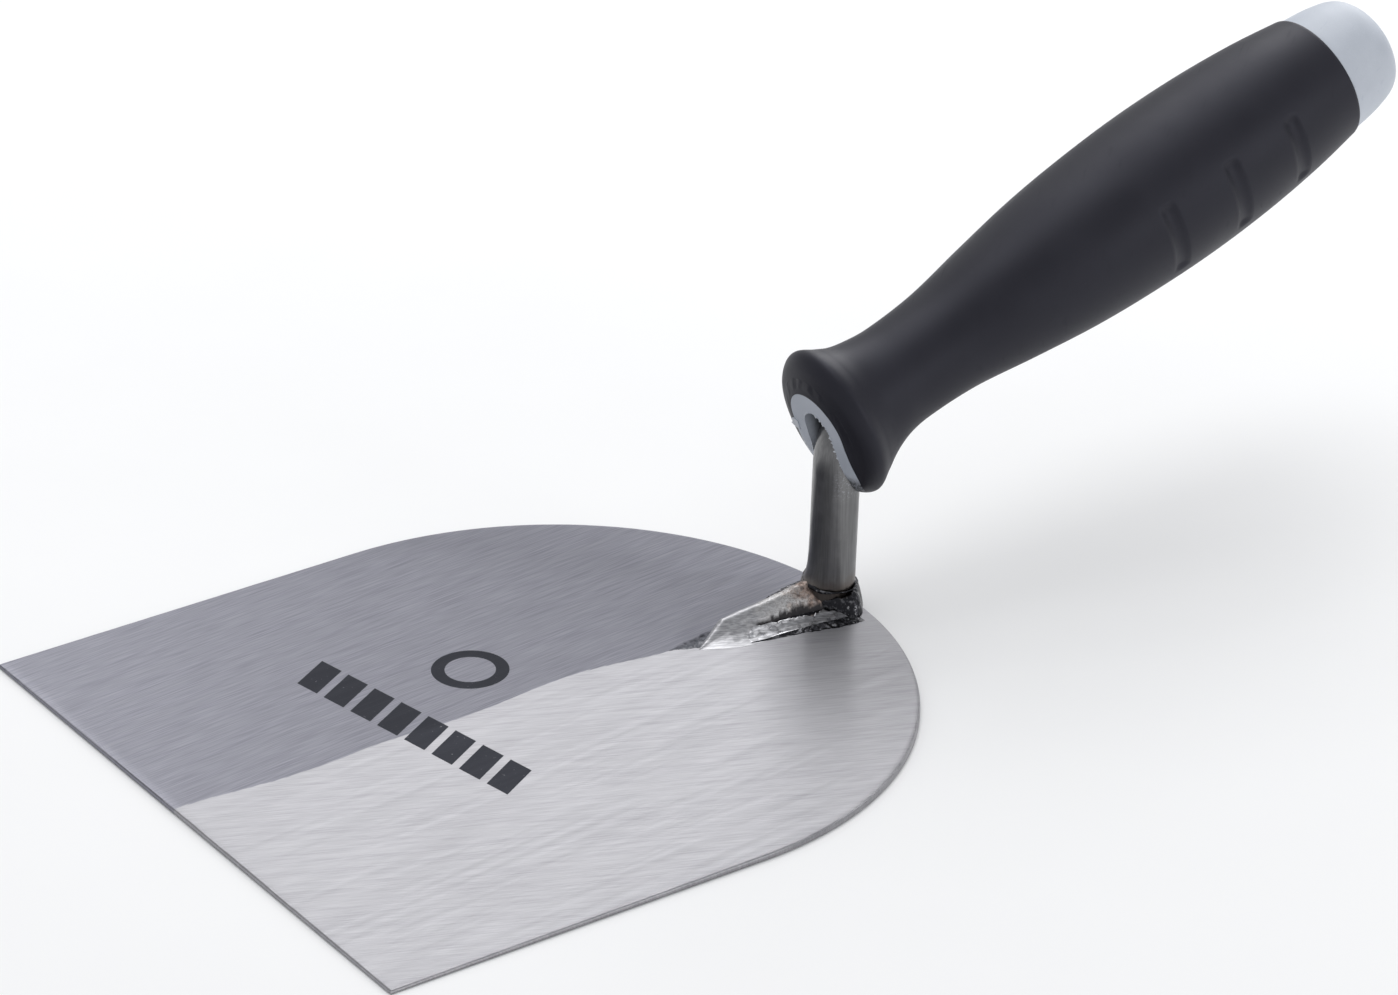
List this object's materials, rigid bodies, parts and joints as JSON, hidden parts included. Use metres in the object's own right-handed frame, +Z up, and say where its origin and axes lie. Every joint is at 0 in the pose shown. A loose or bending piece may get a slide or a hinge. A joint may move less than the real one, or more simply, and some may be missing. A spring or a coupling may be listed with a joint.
{
  "type": "plasterer's trowel",
  "caption": "Round-heeled flat trowel for plaster and stucco: a ground steel plate on a cranked rod neck with a soft two-part grip.",
  "frame": {"origin": "on the blade's flat underside, on the centre line, halfway between the front edge and the heel", "axes": "+X from the front edge to the handle, +Y to the user's left, +Z up out of the blade's top"},
  "size_m": [0.2799, 0.14, 0.0992],
  "materials": {
    "blade_steel": "cross-ground spring steel, fine directional grain, two facets ground in different directions",
    "forged_steel": "rough ground forging with heat tint by the neck",
    "rod_steel": "dark drawn steel rod, satin",
    "weld_steel": "dark weld metal, partly ground bright",
    "grey_plastic": "pale blue-grey moulded plastic, fine satin texture",
    "black_rubber": "black soft-touch thermoplastic rubber, matte"
  },
  "bodies": {
    "root": {"blade": "blade_steel", "tang_foot": "forged_steel", "tang_neck": "rod_steel", "neck_weld": "weld_steel", "foot_weld_right": "weld_steel", "foot_weld_left": "weld_steel", "heel_weld": "weld_steel", "handle_core": "grey_plastic", "grip_sleeve": "black_rubber"}
  },
  "joints": []
}
